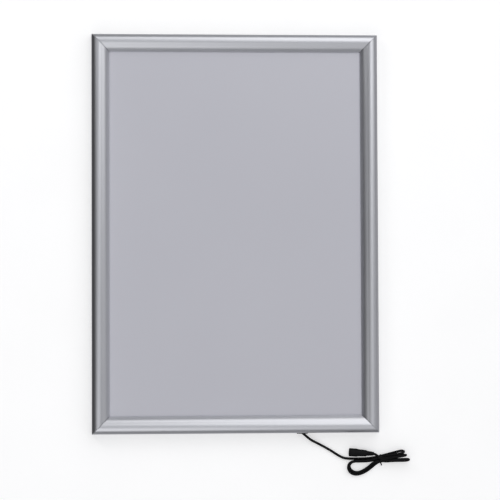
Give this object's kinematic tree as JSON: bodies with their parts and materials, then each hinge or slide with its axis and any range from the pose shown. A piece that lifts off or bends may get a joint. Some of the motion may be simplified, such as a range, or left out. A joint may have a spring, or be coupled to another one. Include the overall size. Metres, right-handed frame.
{
  "type": "slim snap-frame light box sign",
  "caption": "Slim portrait light box sign with a blank lit panel, hinged mitred clip rails and a tied lead that ends in an inline socket.",
  "frame": {"origin": "centre of the back plane, which is also the surface that the sign lies on", "axes": "+Z out of the sign's face, +Y towards its top edge, +X to its right as seen from the front"},
  "size_m": [0.5056, 0.7004, 0.024],
  "materials": {
    "clip_aluminium": "satin anodised extrusion",
    "rail_aluminium": "satin anodised extrusion",
    "screw_steel": "zinc plated",
    "key_zinc": "die-cast",
    "spring_steel": "blued spring strip",
    "back_board": "foamed board",
    "reflector": "white film",
    "clear_acrylic": "clear acrylic, polished edges",
    "opal_acrylic": "opal",
    "cover_film": "semi-gloss sheet",
    "circuit_board": "white solder mask",
    "led_package": "phosphor",
    "wire_red": "extruded",
    "wire_black": "extruded",
    "terminal_plastic": "moulded",
    "cord_jacket": "extruded, satin",
    "clamp_plastic": "moulded",
    "grommet_rubber": "moulded",
    "tie_plastic": "coated wire",
    "socket_plastic": "moulded, satin",
    "insulator_plastic": "moulded",
    "contact_nickel": "nickel plated"
  },
  "bodies": {
    "frame": {"rail_top": "rail_aluminium", "rail_bottom": "rail_aluminium", "rail_left": "rail_aluminium", "rail_right": "rail_aluminium", "corner_key_1": "key_zinc", "corner_key_2": "key_zinc", "corner_key_3": "key_zinc", "corner_key_4": "key_zinc", "corner_key_screws": "screw_steel", "springs_top": "spring_steel", "springs_bottom": "spring_steel", "springs_left": "spring_steel", "springs_right": "spring_steel", "back_panel": "back_board", "back_panel_screws": "screw_steel", "reflector_sheet": "reflector", "light_guide": "clear_acrylic", "diffuser_sheet": "opal_acrylic", "cover_sheet": "cover_film", "led_bar_left": "circuit_board", "led_bar_right": "circuit_board", "leds_left": "led_package", "leds_right": "led_package", "wires_red": "wire_red", "wires_black": "wire_black", "terminal_block": "terminal_plastic", "cord_tail": "cord_jacket", "cord_clamp": "clamp_plastic", "cord_grommet": "grommet_rubber", "cord_run": "cord_jacket", "cord_hank": "cord_jacket", "twist_tie": "tie_plastic", "cord_end": "cord_jacket", "socket_relief": "socket_plastic", "socket_sleeve": "socket_plastic", "socket_barrel": "contact_nickel", "socket_insulator": "insulator_plastic", "socket_pin": "contact_nickel"},
    "top_clip": {"flap_top": "clip_aluminium"},
    "bottom_clip": {"flap_bottom": "clip_aluminium"},
    "left_clip": {"flap_left": "clip_aluminium"},
    "right_clip": {"flap_right": "clip_aluminium"}
  },
  "joints": [
    {"name": "top_clip_hinge", "type": "hinge", "parent": "frame", "child": "top_clip", "pos_m": [0, 0.3138, 0.014], "axis": [-1, 0, 0], "range_deg": [0, 90]},
    {"name": "bottom_clip_hinge", "type": "hinge", "parent": "frame", "child": "bottom_clip", "pos_m": [0, -0.3138, 0.014], "axis": [1, 0, 0], "range_deg": [0, 90]},
    {"name": "left_clip_hinge", "type": "hinge", "parent": "frame", "child": "left_clip", "pos_m": [-0.2248, 0, 0.014], "axis": [0, -1, 0], "range_deg": [0, 90]},
    {"name": "right_clip_hinge", "type": "hinge", "parent": "frame", "child": "right_clip", "pos_m": [0.2248, 0, 0.014], "axis": [0, 1, 0], "range_deg": [0, 90]}
  ]
}
